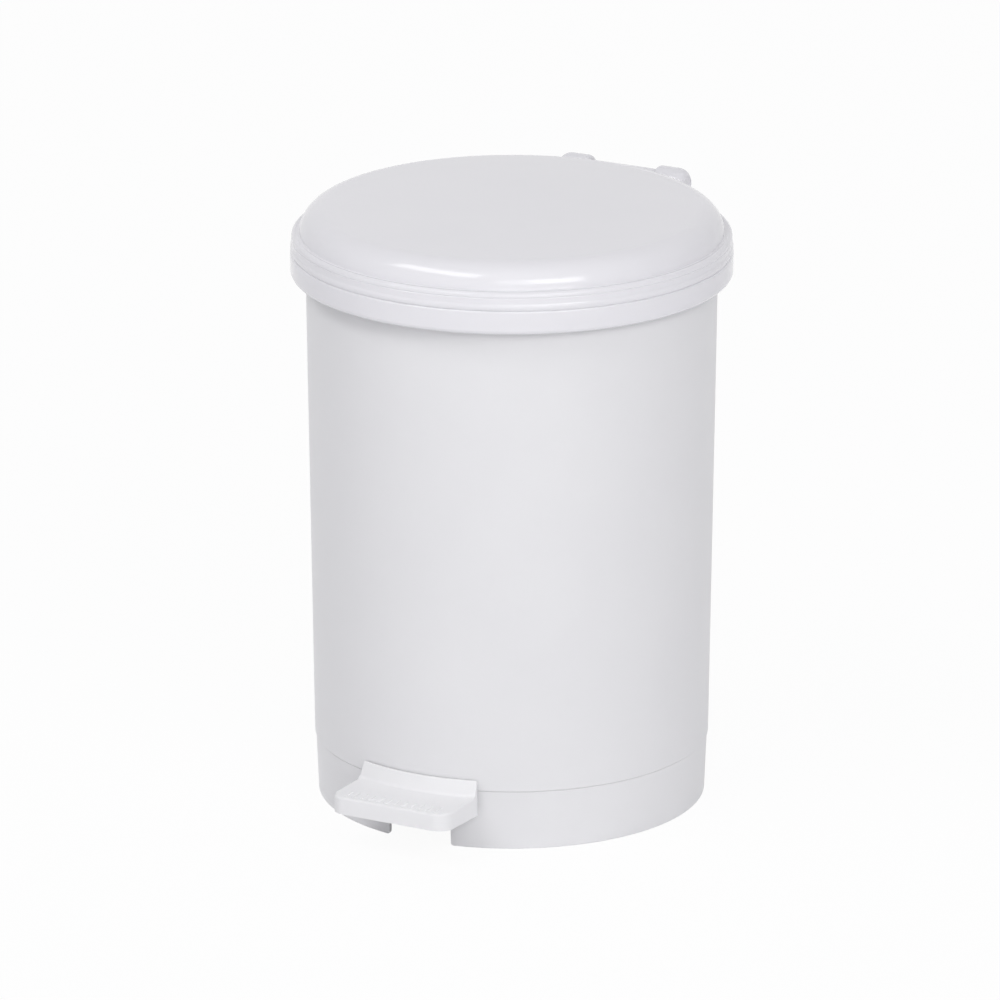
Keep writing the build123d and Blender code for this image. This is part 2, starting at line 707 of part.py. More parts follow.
def make_inner_bucket():
    bend = cos(radians(45))
    foot = bucket_foot_round
    floor_z = bucket_floor_height
    wall = bucket_wall
    outer_base = bucket_bottom_radius
    inner_base = outer_base - wall
    inner_foot = foot - wall
    bucket = turned(
        Line((0, floor_z), (outer_base - foot, floor_z)),
        ThreePointArc((outer_base - foot, floor_z),
                      (outer_base - foot * (1 - bend), floor_z + foot * (1 - bend)),
                      (outer_base, floor_z + foot)),
        Polyline((outer_base, floor_z + foot), (bucket_top_radius, seat_height),
                 (bucket_flange_radius, seat_height), (bucket_flange_radius, bucket_rim),
                 (bucket_top_radius - wall, bucket_rim), (inner_base, floor_z + foot)),
        ThreePointArc((inner_base, floor_z + foot),
                      (inner_base - inner_foot * (1 - bend), floor_z + wall + inner_foot * (1 - bend)),
                      (inner_base - inner_foot, floor_z + wall)),
        Polyline((inner_base - inner_foot, floor_z + wall), (0, floor_z + wall), (0, floor_z)),
    )
    rear_flat = bucket_top_radius + bucket_flange_root
    bucket = bucket - block(-bucket_flange_radius, bucket_flange_radius, rear_flat, collar_radius,
                            seat_height - wall, bucket_rim + wall)
    ear_top = bail_axis_z + ear_length / 2
    for side in (-1, 1):
        ear = Pos(side * ear_x, 0, (bucket_rim + ear_top) / 2) * Box(ear_thickness, ear_length, ear_top - bucket_rim)
        ear = fillet(ear.edges().filter_by(Axis.X).group_by(Axis.Z)[-1], ear_length / 2.1)
        bucket = bucket + ear
    reach = bucket_flange_radius
    return bucket - cross_bar(bail_radius + 2 * running_fit, -reach, reach, 0, bail_axis_z)


def make_bail_wire():
    z = bail_axis_z
    end_x = ear_x + ear_thickness / 2 + bail_bend / 4
    turn_x = bail_leg_x + bail_bend
    loop = bail_leg_x
    bend = bail_bend * cos(radians(45))
    path = Curve([
        Line((end_x, 0, z), (turn_x, 0, z)),
        ThreePointArc((turn_x, 0, z), (turn_x - bend, -bail_bend + bend, z), (bail_leg_x, -bail_bend, z)),
        ThreePointArc((bail_leg_x, -bail_bend, z), (0, -bail_bend - loop, z), (-bail_leg_x, -bail_bend, z)),
        ThreePointArc((-bail_leg_x, -bail_bend, z), (-turn_x + bend, -bail_bend + bend, z), (-turn_x, 0, z)),
        Line((-turn_x, 0, z), (-end_x, 0, z)),
    ])
    section = Plane(origin=(end_x, 0, z), z_dir=(-1, 0, 0)) * Circle(bail_radius)
    return sweep(section, path=path)


def make_bail_grip():
    loop = bail_leg_x
    place = Pos(0, -bail_bend, bail_axis_z)
    profile = Plane.XZ * (Pos(loop, 0) * (Circle(grip_radius) - Circle(bail_radius + press_fit)))
    grip = Rot(0, 0, -90 - grip_half_angle) * revolve(profile, Axis.Z, 2 * grip_half_angle)
    return place * grip


def write_node(name, shape):
    """Write one node, whose solids are the given shape's, or a list of shapes."""
    solids = []
    for piece in (shape if isinstance(shape, list) else [shape]):
        solids.extend(piece.solids())
    node = solids[0] if len(solids) == 1 else Compound(children=solids)
    node.label = name
    export_step(node, os.path.join("parts", name + ".step"))
    print(name, len(solids), "solids", round(sum(solid.volume for solid in solids)))


def main():
    os.makedirs("parts", exist_ok=True)
    fork_reach = fork_top + rod_travel
    write_node("drum_shell", make_drum_shell())
    write_node("base_plinth", make_base_plinth())
    write_node("base_screws", [base_screw_place(angle) * screw(base_screw_length) for angle in base_screw_angles])
    write_node("top_collar", make_top_collar())
    write_node("rod_guide_lower", make_rod_guide(fork_reach + guide_clearance + guide_height))
    write_node("rod_guide_upper", make_rod_guide(seam_height - guide_top_drop))
    write_node("pedal_axle", cross_bar(axle_radius, -post_outer, post_outer, pivot_y, pivot_height))
    write_node("axle_saddle_left", make_axle_saddle(-1))
    write_node("axle_saddle_right", make_axle_saddle(1))
    write_node("saddle_screws", saddle_screw_set())
    pin_end = plug_inner - fork_gap
    write_node("hinge_pin", cross_bar(pin_radius, -pin_end, pin_end, hinge_y, hinge_z))
    write_node("lid_buffers", lid_buffer_set())
    write_node("lid", make_lid())
    rib_outer = rib_inner + rib_wall
    write_node("lift_pin", cross_bar(pin_radius, -rib_outer, rib_outer, lift_y, lift_z))
    write_node("hinge_plugs", [make_hinge_plug(side) for side in (-1, 1)])
    write_node("pedal", make_pedal())
    write_node("pedal_lever", make_pedal_lever())
    write_node("pedal_screws", pedal_screw_set())
    write_node("axle_bush_left", make_axle_bush(-1))
    write_node("axle_bush_right", make_axle_bush(1))
    write_node("tail_pin", cross_bar(tail_pin_radius, -fork_outer, fork_outer, rod_y, tail_height))
    write_node("push_rod", make_push_rod())
    write_node("rod_fork", make_rod_fork())
    write_node("rod_head", make_rod_head())
    write_node("inner_bucket", make_inner_bucket())
    write_node("bail_wire", make_bail_wire())
    write_node("bail_grip", make_bail_grip())


main()
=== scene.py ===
import json
from math import asin, atan2, cos, degrees, pi, radians, sin, sqrt, tan

import bmesh
import bpy
from mathutils import Matrix, Vector


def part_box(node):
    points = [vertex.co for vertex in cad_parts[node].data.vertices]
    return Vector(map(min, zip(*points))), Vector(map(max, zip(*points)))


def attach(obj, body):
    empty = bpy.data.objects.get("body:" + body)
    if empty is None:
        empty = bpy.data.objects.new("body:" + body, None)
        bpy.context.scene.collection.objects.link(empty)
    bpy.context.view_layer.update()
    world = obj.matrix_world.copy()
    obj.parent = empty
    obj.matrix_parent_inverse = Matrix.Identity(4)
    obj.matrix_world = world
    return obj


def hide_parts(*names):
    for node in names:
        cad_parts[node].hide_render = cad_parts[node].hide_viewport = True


# A white plastic pedal bin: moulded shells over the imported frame, in metres, and a plain white studio.

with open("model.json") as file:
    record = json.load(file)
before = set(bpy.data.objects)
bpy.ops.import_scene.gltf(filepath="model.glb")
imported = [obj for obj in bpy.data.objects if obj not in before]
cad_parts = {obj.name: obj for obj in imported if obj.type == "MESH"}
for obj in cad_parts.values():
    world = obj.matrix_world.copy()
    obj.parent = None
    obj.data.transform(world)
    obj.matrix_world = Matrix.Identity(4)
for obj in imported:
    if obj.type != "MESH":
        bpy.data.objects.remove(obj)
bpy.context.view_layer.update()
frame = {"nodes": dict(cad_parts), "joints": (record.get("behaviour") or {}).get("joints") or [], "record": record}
cad_nodes = frame["nodes"]
joint_places = {joint["name"]: Vector(joint.get("pos_m", (0, 0, 0))) for joint in frame["joints"]}

MM = 0.001
SPIN_STEPS = 240            # facets round the large shells
SMALL_STEPS = 64            # facets round the hinge and the pins' bores
ROUND_STEPS = 5             # facets of a rounded corner
BEAD_STEPS = 8              # facets of a bead or a fillet
CIRCULAR = 0.5              # profile of a bevel that is part of a circle
FINE = 0.3 * MM             # roundings of moulded edges, from thin walls to broad ones
EDGE = 0.4 * MM
SOFT = 0.6 * MM
WELD = 0.00001              # points closer than this are one
HAIR = 0.01 * MM            # keeps a turned piece inside the CAD's box
CRISP = radians(34)         # an edge bent by more than this shades as a crisp one
JOIN, CUT = "UNION", "DIFFERENCE"

# Places and levels that the frame gives
hinge = joint_places["lid_hinge"]
pivot = joint_places["pedal_pivot"]
bail_axis = joint_places["bail_swing"]
drum_low, drum_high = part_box("drum_shell")
plinth_low, plinth_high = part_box("base_plinth")
collar_low, collar_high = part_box("top_collar")
lid_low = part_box("lid")[0]
pedal_low, pedal_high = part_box("pedal")
bucket_low, bucket_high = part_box("inner_bucket")

# Radii, walls and heights that several pieces share
wall = 2.2 * MM                                 # drum, spigot and lid
thick_wall = 2.5 * MM                           # collar, base and pedal
push_fit = 0.15 * MM
plinth_top = drum_low.z
drum_top_radius = drum_high.x
plinth_radius = plinth_high.x
drum_foot_radius = plinth_radius + 0.7 * MM     # the drum's foot stands out past the base ring
plinth_foot_radius = plinth_radius - 1.5 * MM   # the base ring narrows towards the floor
plinth_inner = plinth_foot_radius - thick_wall
seam = drum_high.z + thick_wall                 # line between collar and lid
collar_radius = collar_high.x - HAIR
rim_radius = collar_radius - 0.8 * MM           # the lid's upright rim band
seat = seam - 22.4 * MM                         # ledge that the bucket hangs on
mouth_radius = bucket_high.x + 2 * MM           # with room round the bucket's flange
ledge_radius = mouth_radius - 8.2 * MM
slot_half = 13 * MM                             # rear slot for the push rod
pin_radius = 3 * MM
lobe_inner = 23 * MM                            # hinge lobes of the lid, either side of the bracket
lobe_outer = 45 * MM
lobe_end_round = 8 * MM
lobe_radius = 9.8 * MM - HAIR                   # a hinge lobe round its pin


# Mesh helpers

def arc(centre, radius, start, end, steps):
    """Outline corners along a round stretch, between two angles in degrees above level."""
    turns = [radians(start + (end - start) * step / steps) for step in range(steps + 1)]
    return [(centre[0] + radius * cos(turn), centre[1] + radius * sin(turn), 0) for turn in turns]


def wire(corners, closed):
    """A wire through (radius, height, rounding) corners in the XZ plane, with its corners rounded."""
    bm = bmesh.new()
    verts = [bm.verts.new((radius, 0, height)) for radius, height, rounding in corners]
    followers = verts[1:] + verts[:1] if closed else verts[1:]
    for first, second in zip(verts, followers):
        bm.edges.new((first, second))
    for vert, (radius, height, rounding) in zip(verts, corners):
        if rounding:
            bmesh.ops.bevel(bm, geom=[vert], offset=rounding, affect="VERTICES", segments=ROUND_STEPS,
                            profile=CIRCULAR, material=-1)
    return bm


def lathe(corners, closed=True, steps=SPIN_STEPS):
    """A solid turned round the Z axis from an outline, which is open where it ends on the axis."""
    bm = wire(corners, closed)
    bmesh.ops.spin(bm, geom=bm.verts[:] + bm.edges[:], cent=(0, 0, 0), axis=(0, 0, 1), dvec=(0, 0, 0),
                   angle=2 * pi, steps=steps, use_merge=True, use_duplicate=False)
    bmesh.ops.remove_doubles(bm, verts=bm.verts[:], dist=WELD)
    bmesh.ops.recalc_face_normals(bm, faces=bm.faces[:])
    return bm


def lathe_part(corners, start, end, steps):
    """A closed outline turned through part of a circle round the Z axis, in degrees from +X."""
    bm = wire(corners, True)
    turn(bm, start, "Z")
    bmesh.ops.spin(bm, geom=bm.verts[:] + bm.edges[:], cent=(0, 0, 0), axis=(0, 0, 1), dvec=(0, 0, 0),
                   angle=radians(end - start), steps=steps, use_merge=False, use_duplicate=False)
    bmesh.ops.holes_fill(bm, edges=[edge for edge in bm.edges if edge.is_boundary], sides=0)
    bmesh.ops.recalc_face_normals(bm, faces=bm.faces[:])
    return bm


def plate(points, x_from, x_to):
    """A plate across X from a front-to-back outline of (y, z) points."""
    bm = bmesh.new()
    face = bm.faces.new([bm.verts.new((x_from, y, z)) for y, z in points])
    grown = bmesh.ops.extrude_face_region(bm, geom=[face])
    moved = [item for item in grown["geom"] if isinstance(item, bmesh.types.BMVert)]
    bmesh.ops.translate(bm, vec=(x_to - x_from, 0, 0), verts=moved)
    bmesh.ops.recalc_face_normals(bm, faces=bm.faces[:])
    return bm


def block(low, high):
    """A box between two corners."""
    bm = bmesh.new()
    bmesh.ops.create_cube(bm, size=1)
    bmesh.ops.scale(bm, vec=Vector(high) - Vector(low), verts=bm.verts[:])
    bmesh.ops.translate(bm, vec=(Vector(low) + Vector(high)) / 2, verts=bm.verts[:])
    return bm


def turn(bm, angle, axis):
    """Turns a whole piece about an axis through the origin, in degrees."""
    bmesh.ops.rotate(bm, verts=bm.verts[:], cent=(0, 0, 0), matrix=Matrix.Rotation(radians(angle), 3, axis))
    return bm


def mirrored(bm, side):
    """The same piece, or its mirror image on the other side of the bin."""
    if side < 0:
        bmesh.ops.scale(bm, vec=(-1, 1, 1), verts=bm.verts[:])
        bmesh.ops.reverse_faces(bm, faces=bm.faces[:])
    return bm


def across(bm, y, z):
    """Lays a lathed piece along a line across X."""
    turn(bm, 90, "Y")
    bmesh.ops.translate(bm, vec=(0, y, z), verts=bm.verts[:])
    return bm


def bar(radius, x_from, x_to, y, z):
    """A round bar across X."""
    corners = [(0, x_from, 0), (radius, x_from, 0), (radius, x_to, 0), (0, x_to, 0)]
    return across(lathe(corners, False, SMALL_STEPS), y, z)


def soften(bm, edges, size, segments):
    """Rounds some edges of a piece."""
    bmesh.ops.bevel(bm, geom=edges, offset=size, affect="EDGES", segments=segments, profile=CIRCULAR,
                    material=-1)
    bmesh.ops.recalc_face_normals(bm, faces=bm.faces[:])
    return bm


def together(pieces):
    """One mesh that holds several pieces, which stay clear of each other."""
    whole = bmesh.new()
    for piece in pieces:
        carrier = bpy.data.meshes.new("carrier")
        piece.to_mesh(carrier)
        piece.free()
        whole.from_mesh(carrier)
        bpy.data.meshes.remove(carrier)
    return whole


def as_object(bm, name):
    """A finished mesh as an object of the scene."""
    mesh = bpy.data.meshes.new(name)
    bm.to_mesh(mesh)
    bm.free()
    item = bpy.data.objects.new(name, mesh)
    bpy.context.scene.collection.objects.link(item)
    return item


def work(item, tool, operation):
    """Joins a second shape to a piece, or cuts it away."""
    other = as_object(tool, item.name + "_tool")
    step = item.modifiers.new(operation, "BOOLEAN")
    step.operation = operation
    step.solver = "EXACT"
    step.object = other
    whole = bpy.data.meshes.new_from_object(item.evaluated_get(bpy.context.evaluated_depsgraph_get()))
    item.modifiers.clear()
    item.data = whole
    bpy.data.objects.remove(other)


def moulded(name, body, node, base, steps):
    """A piece that stands for a CAD node: a base shape, with others joined to it or cut away in turn."""
    item = as_object(base, name)
    for operation, tool in steps:
        work(item, tool, operation)
    bm = bmesh.new()
    bm.from_mesh(item.data)
    bmesh.ops.remove_doubles(bm, verts=bm.verts[:], dist=WELD / 4)
    bmesh.ops.dissolve_degenerate(bm, edges=bm.edges[:], dist=WELD / 4)
    for face in bm.faces:
        face.smooth = True
    for edge in bm.edges:
        edge.smooth = edge.is_manifold and edge.calc_face_angle(0) < CRISP
    bm.to_mesh(item.data)
    bm.free()
    weighted = item.modifiers.new("even_shading", "WEIGHTED_NORMAL")
    weighted.keep_sharp = True
    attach(item, body)
    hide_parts(node)
    return item


# Drum

def make_drum():
    flange, foot_round, inner_round = 2.5 * MM, 1.3 * MM, 0.8 * MM
    flange_top = plinth_top + flange
    slope = (drum_top_radius - drum_foot_radius) / (drum_high.z - plinth_top)
    inner_foot = drum_foot_radius + slope * flange - wall
    shell = lathe([
        (plinth_inner, plinth_top, FINE),
        (drum_foot_radius, plinth_top, foot_round),
        (drum_top_radius, drum_high.z, EDGE),
        (drum_top_radius - wall, drum_high.z, EDGE),
        (inner_foot, flange_top, inner_round),
        (plinth_inner, flange_top, FINE),
    ])
    pad_half, pad_angles = 6 * MM, (45, 135, 225, 315)
    pads = [turn(block((plinth_inner, -pad_half, flange_top - flange / 2),
                       (drum_foot_radius - wall / 2, pad_half, plinth_high.z)), angle, "Z")
            for angle in pad_angles]
    return moulded("drum", "bin", "drum_shell", shell, [(JOIN, together(pads))])


# Base ring, its floor and the two axle posts

def make_base():
    tongue = plinth_inner - push_fit
    shoulder = plinth_top - thick_wall
    inner_round, foot_round = 0.5 * MM, 0.8 * MM
    ring = lathe([
        (plinth_inner, plinth_low.z, inner_round),
        (plinth_foot_radius, plinth_low.z, foot_round),
        (plinth_radius, plinth_top, FINE),
        (tongue, plinth_top, 0),
        (tongue, plinth_high.z, EDGE),
        (tongue - thick_wall, plinth_high.z, EDGE),
        (tongue - thick_wall, shoulder, 0),
        (plinth_inner, shoulder - thick_wall, SOFT),
    ])
    floor_low, floor_high = 6 * MM, 8.5 * MM
    floor_radius = plinth_inner + thick_wall / 2
    floor_plate = lathe([(0, floor_low, 0), (floor_radius, floor_low, 0), (floor_radius, floor_high, 0),
                         (0, floor_high, 0)], False)
    post_inner, post_outer, post_half = 16.8 * MM, 24.8 * MM, 13 * MM
    post = block((post_inner, pivot.y - post_half, floor_high - thick_wall / 2),
                 (post_outer, pivot.y + post_half, pivot.z))
    posts = together([mirrored(post.copy(), side) for side in (-1, 1)])
    notch_half, notch_round, bridge = 21.3 * MM, 2.2 * MM, 3 * MM
    notch_top = plinth_top - bridge
    notch_back = pivot.y - post_half - thick_wall
    # The notch flares where it meets the floor
    outline = [(-notch_half - notch_round, -thick_wall, 0), (notch_half + notch_round, -thick_wall, 0),
               *arc((notch_half + notch_round, notch_round), notch_round, 270, 180, ROUND_STEPS),
               (notch_half, notch_top, 0), (-notch_half, notch_top, 0),
               *arc((-notch_half - notch_round, notch_round), notch_round, 0, -90, ROUND_STEPS)]
    notch = turn(plate([(x, z) for x, z, rounding in outline], -collar_radius, notch_back), 90, "Z")
    rod_room = block((-slot_half, 0, shoulder - thick_wall), (slot_half, plinth_inner, collar_low.z))
    axle_bore = bar(pin_radius, -post_outer - thick_wall, post_outer + thick_wall, pivot.y, pivot.z)
    return moulded("base", "bin", "base_plinth", ring,
                   [(JOIN, floor_plate), (CUT, notch), (JOIN, posts), (CUT, rod_room), (CUT, axle_bore)])


# Collar with its bucket ledge and hinge bracket

def make_collar():
    skirt_height, spigot_height, spigot_gap = 14.8 * MM, 14 * MM, 0.35 * MM
    top_round, bottom_round = 1.3 * MM, 3.0 * MM
    lip, lip_height, lip_round = 0.7 * MM, 3 * MM, 0.1 * MM
    bottom = seam - skirt_height
    skirt_inner = collar_radius - thick_wall
    spigot = drum_top_radius - wall - spigot_gap
    spigot_bottom = drum_high.z - spigot_height
    ledge_bottom = seat - wall
    ring = lathe([
        (mouth_radius, seam, SOFT),
        (collar_radius, seam, top_round),
        (collar_radius, bottom, bottom_round),
        (skirt_inner - lip, bottom, lip_round),
        (skirt_inner, bottom + lip_height, 0),
        (skirt_inner, drum_high.z, 0),
        (spigot, drum_high.z, 0),
        (spigot, spigot_bottom, EDGE),
        (spigot - wall, spigot_bottom, EDGE),
        (spigot - wall, drum_high.z, 0),
        (mouth_radius + wall, drum_high.z, 0),
        (mouth_radius + wall, ledge_bottom, SOFT),
        (ledge_radius, ledge_bottom, EDGE),
        (ledge_radius, seat, EDGE),
        (mouth_radius, seat, SOFT),
    ])
    slot = block((-slot_half, 0, ledge_bottom - wall),
                 (slot_half, drum_top_radius - wall + push_fit, seam + wall))
    knuckle, knuckle_gap = 7 * MM, 0.6 * MM
    root_drop, root_height = 0.9 * MM, 12 * MM
    half = lobe_inner - knuckle_gap
    root_y = sqrt(collar_radius ** 2 - half ** 2) - thick_wall
    root_top = seam - root_drop
    root_bottom = root_top - root_height
    lean = knuckle * cos(radians(45))
    web = plate([
        (root_y, root_bottom),
        (collar_radius, root_bottom),
        (hinge.y + knuckle, hinge.z),
        (hinge.y, hinge.z),
        (hinge.y - lean, hinge.z - lean / 2),
        (collar_radius, root_top),
        (root_y, root_top),
    ], -half, half)
    tube = bar(knuckle, -half, half, hinge.y, hinge.z)
    pin_bore = bar(pin_radius, -lobe_outer, lobe_outer, hinge.y, hinge.z)
    return moulded("collar", "bin", "top_collar", ring,
                   [(CUT, slot), (JOIN, web), (JOIN, tube), (CUT, pin_bore)])


# Lid: heights in its outline are above the seam

lid_gap = 0.06 * MM                             # a closed lid all but touches the collar
rim_height = 11.4 * MM
rim_round = 2.4 * MM


def lid_outline():
    """Corners of the lid's wall, from the axis down its inner side and back up its outer side."""
    lip_half, lip_bulge = 2.2 * MM, 0.7 * MM
    lip_radius = (lip_half ** 2 + lip_bulge ** 2) / (2 * lip_bulge)
    lip_centre = (rim_radius + lip_bulge - lip_radius, lid_gap + lip_half)
    lip_turn = degrees(asin(lip_half / lip_radius))
    groove, groove_depth = 8 * MM, 0.4 * MM
    groove_round, groove_top_round = 0.15 * MM, 0.08 * MM
    valley_width, valley_depth = 2.2 * MM, 0.25 * MM
    shoulder = 16.6 * MM
    draft, slope = 6, 2.4                           # degrees, at the shoulder's foot and at its top
    dome_radius = rim_radius - rim_round - valley_width
    dome_foot = rim_height + valley_depth
    centre = (dome_radius - shoulder * cos(radians(draft)), dome_foot - shoulder * sin(radians(draft)))
    crown = (centre[0] + shoulder * sin(radians(slope))) / sin(radians(slope))
    crown_centre = (0, centre[1] + (shoulder - crown) * cos(radians(slope)))
    ceiling = rim_height - rim_round
    inner_rim = rim_radius - wall
    inner_foot = centre[0] + (shoulder - wall) * cos(radians(draft))
    crown_steps, shoulder_steps = 14, 18
    return [
        *arc(crown_centre, crown - wall, 90, 90 - slope, crown_steps)[:-1],
        *arc(centre, shoulder - wall, 90 - slope, draft, shoulder_steps),
        (inner_foot, ceiling, 0),
        (rim_radius - rim_round - wall / 2, ceiling, EDGE),
        (inner_rim, ceiling - wall, EDGE),
        (inner_rim, lid_gap, FINE),
        *arc(lip_centre, lip_radius, -lip_turn, lip_turn, BEAD_STEPS),
        (rim_radius, groove - groove_depth, groove_round),
        (rim_radius - groove_depth, groove, groove_round),
        (rim_radius, groove + groove_depth, groove_top_round),
        *arc((rim_radius - rim_round, rim_height - rim_round), rim_round, 0, 90, BEAD_STEPS),
        (rim_radius - rim_round - valley_width / 2, rim_height - valley_depth, SOFT),
        *arc(centre, shoulder, draft, 90 - slope, shoulder_steps),
        *arc(crown_centre, crown, 90 - slope, 90, crown_steps)[1:],
    ]


def make_lid():
    shell = lathe(lid_outline(), False)
    bmesh.ops.translate(shell, vec=(0, 0, seam), verts=shell.verts[:])
    ring_inset, ring_half, ring_lift = 4.5 * MM, 1 * MM, 1.9 * MM
    ring_middle = rim_radius - wall - ring_inset
    ring_low, ring_high = seam + ring_lift, seam + rim_height + wall
    stop_ring = lathe([
        (ring_middle - ring_half, ring_low, FINE),
        (ring_middle + ring_half, ring_low, FINE),
        (ring_middle + ring_half, ring_high, 0),
        (ring_middle - ring_half, ring_high, 0),
    ])
    lift_ahead, lift_below = 31.5 * MM, 16.05 * MM  # the lift pin's place, from the hinge
    lift_y, lift_z = hinge.y - lift_ahead, hinge.z - lift_below
    steps = [(JOIN, stop_ring)]
    for side in (-1, 1):
        steps += [(JOIN, mirrored(hinge_arm(), side)), (JOIN, mirrored(hinge_lobe(), side)),
                  (JOIN, mirrored(lift_rib(lift_y), side))]
    lift_bore = bar(pin_radius, -slot_half, slot_half, lift_y, lift_z)
    steps.append((CUT, together([hinge_bore(), lift_bore])))
    return moulded("lid_dome", "lid", "lid", shell, steps)


def hinge_lobe():
    """The round lobe at the end of a hinge arm."""
    inner_round = 3 * MM
    tip = arc((lobe_radius - lobe_end_round, lobe_outer - lobe_end_round), lobe_end_round, 0, 90,
              2 * ROUND_STEPS)
    corners = [(0, lobe_inner, 0), (lobe_radius, lobe_inner, inner_round), *tip, (0, lobe_outer, 0)]
    return across(lathe(corners, False, SMALL_STEPS), hinge.y, hinge.z)


def hinge_bore():
    """The bore of the hinge pin, wider where a plug closes each end."""
    plug_radius, plug_depth = 5.2 * MM, 4 * MM
    plug_from, open_end = lobe_outer - plug_depth, lobe_outer + wall
    bore = lathe([(0, -open_end, 0), (plug_radius, -open_end, 0), (plug_radius, -plug_from, 0),
                  (pin_radius, -plug_from, 0), (pin_radius, plug_from, 0), (plug_radius, plug_from, 0),
                  (plug_radius, open_end, 0), (0, open_end, 0)], False, SMALL_STEPS)
    part_facet = 1.7                                # degrees, so that no facet lies on an edge of the lobe
    return across(turn(bore, part_facet, "Z"), hinge.y, hinge.z)


def hinge_arm():
    """The arm from the lid's rim to a lobe, with its upper edges rounded."""
    inset, clearance, ridge_round = 0.5 * MM, 0.4 * MM, 3 * MM
    inner_side, arm_end = lobe_inner + inset, lobe_outer - lobe_end_round
    front = sqrt((rim_radius - wall) ** 2 - arm_end ** 2)
    low, top = seam + clearance, hinge.z + lobe_radius
    arm = plate([(front, low), (hinge.y, low), (hinge.y, top), (front, seam + rim_height - wall / 2)],
                inner_side, arm_end)
    ridges = [edge for edge in arm.edges if abs(edge.verts[0].co.x - edge.verts[1].co.x) < WELD
              and min(vert.co.z for vert in edge.verts) > low + wall and edge.calc_length() > 2 * wall
              and abs(edge.verts[0].co.y - edge.verts[1].co.y) > wall]
    return soften(arm, ridges, ridge_round, ROUND_STEPS)


def lift_rib(lift_y):
    """A rib under the dome, which holds one end of the lift pin."""
    reach, rib_inner, rib_outer = 5.5 * MM, 6.2 * MM, 9 * MM
    front_top, rear_top = seam + 24.8 * MM, seam + 19.5 * MM
    return plate([
        (lift_y - 2 * reach, front_top),
        (lift_y - reach, lid_low.z),
        (lift_y + reach, lid_low.z),
        (lift_y + reach, rear_top),
    ], rib_inner, rib_outer)


# Pedal

def make_pedal():
    half = pedal_high.x
    front = pedal_low.y
    drum_gap, back_inset = 3.3 * MM, 0.1 * MM
    inside = drum_foot_radius + drum_gap
    face = inside + thick_wall                      # front of the upright back, at its foot
    tread = 35.2 * MM
    lip_drop, skirt_drop = 10.8 * MM, 12.5 * MM
    corner, edge_round, edge_steps = 9.5 * MM, 1.6 * MM, 4
    reach = -(drum_foot_radius - thick_wall) * cos(asin(half / face))
    outer = plate([(reach, tread - skirt_drop), (front, tread - lip_drop), (front, tread), (reach, tread)],
                  -half, half)
    round_front(outer, front, corner)
    top_face = max(outer.faces, key=lambda side: side.normal.z * side.calc_area())
    soften(outer, [edge for edge in top_face.edges if min(vert.co.y for vert in edge.verts) < reach - MM],
           edge_round, edge_steps)
    hollow = plate([(reach + thick_wall, -skirt_drop), (front + thick_wall, -skirt_drop),
                    (front + thick_wall, tread - thick_wall), (reach + thick_wall, tread - thick_wall)],
                   -half + thick_wall, half - thick_wall)
    round_front(hollow, front + thick_wall, corner - thick_wall)
    tray_end = inside + thick_wall / 2
    drum_room = lathe([(0, -collar_radius, 0), (tray_end, -collar_radius, 0), (tray_end, collar_radius, 0),
                       (0, collar_radius, 0)], False)
    back = pedal_back(half - back_inset, inside, face, tread, tread - skirt_drop)
    strap_half, strap_rise, boss_shares = 8.8 * MM, 1.5 * MM, (0.3, 0.7)
    strap_top = pivot.z + strap_rise
    strap_notch = block((-strap_half, -face - thick_wall, 0), (strap_half, 0, strap_top))
    bosses = together([boss(-face + (face + front) * share, strap_top, tread - thick_wall / 2)
                       for share in boss_shares])
    return moulded("pedal_tread", "pedal", "pedal", outer, [
        (CUT, hollow), (CUT, drum_room), (JOIN, back), (CUT, strap_notch), (JOIN, bosses),
        (JOIN, together(grip_bars(half - corner, front, tread)))])


def round_front(bm, front, size):
    """Rounds the two upright front corners of a tray."""
    edges = [edge for edge in bm.edges if all(abs(vert.co.y - front) < WELD for vert in edge.verts)
             and abs(edge.verts[0].co.x - edge.verts[1].co.x) < WELD]
    return soften(bm, edges, size, BEAD_STEPS)


def pedal_back(half, inside, face, level, low):
    """The curved back of the pedal, which leans towards the drum, with a hollow fillet at its foot."""
    top, lean, crest, fillet, depth = pedal_high.z, 3.7 * MM, 1.5 * MM, 2.5 * MM, 1.2 * MM
    narrowing, end_round, ridge_steps, back_steps = 1 * MM, 2 * MM, 2, 28
    sideways, bent = 0.8, radians(50)               # what tells the ends and the ridge from other edges
    spare = 1                                       # degrees at each end, which the trims take off
    lean_angle = degrees(atan2(lean, top - level))
    foot = face + fillet * tan(radians(45 - lean_angle / 2))
    span = degrees(asin(half / inside)) + spare
    back = lathe_part([
        (inside, low, 0),
        (face, low, 0),
        (face, level - depth, 0),
        (foot, level - depth, 0),
        *arc((foot, level + fillet), fillet, 270, 180 + lean_angle, BEAD_STEPS),
        (face - lean, top, 0),
        (face - lean - crest, top, 0),
        (inside, level, 0),
    ], -90 - span, -90 + span, back_steps)
    for side in (-1, 1):
        trim(back, (side * half, 0, level), (side, 0, 0))
        trim(back, (side * half, 0, level), (side * (top - level), 0, narrowing))
    ends = [edge for edge in back.edges if all(abs(vert.co.z - top) < WELD for vert in edge.verts)
            and max(abs(side.normal.x) for side in edge.link_faces) > sideways]
    soften(back, ends, end_round, ROUND_STEPS)
    ridge = [edge for edge in back.edges if edge.calc_face_angle(0) > bent
             and max(vert.co.z for vert in edge.verts) > level + 2 * fillet]
    return soften(back, ridge, EDGE, ridge_steps)


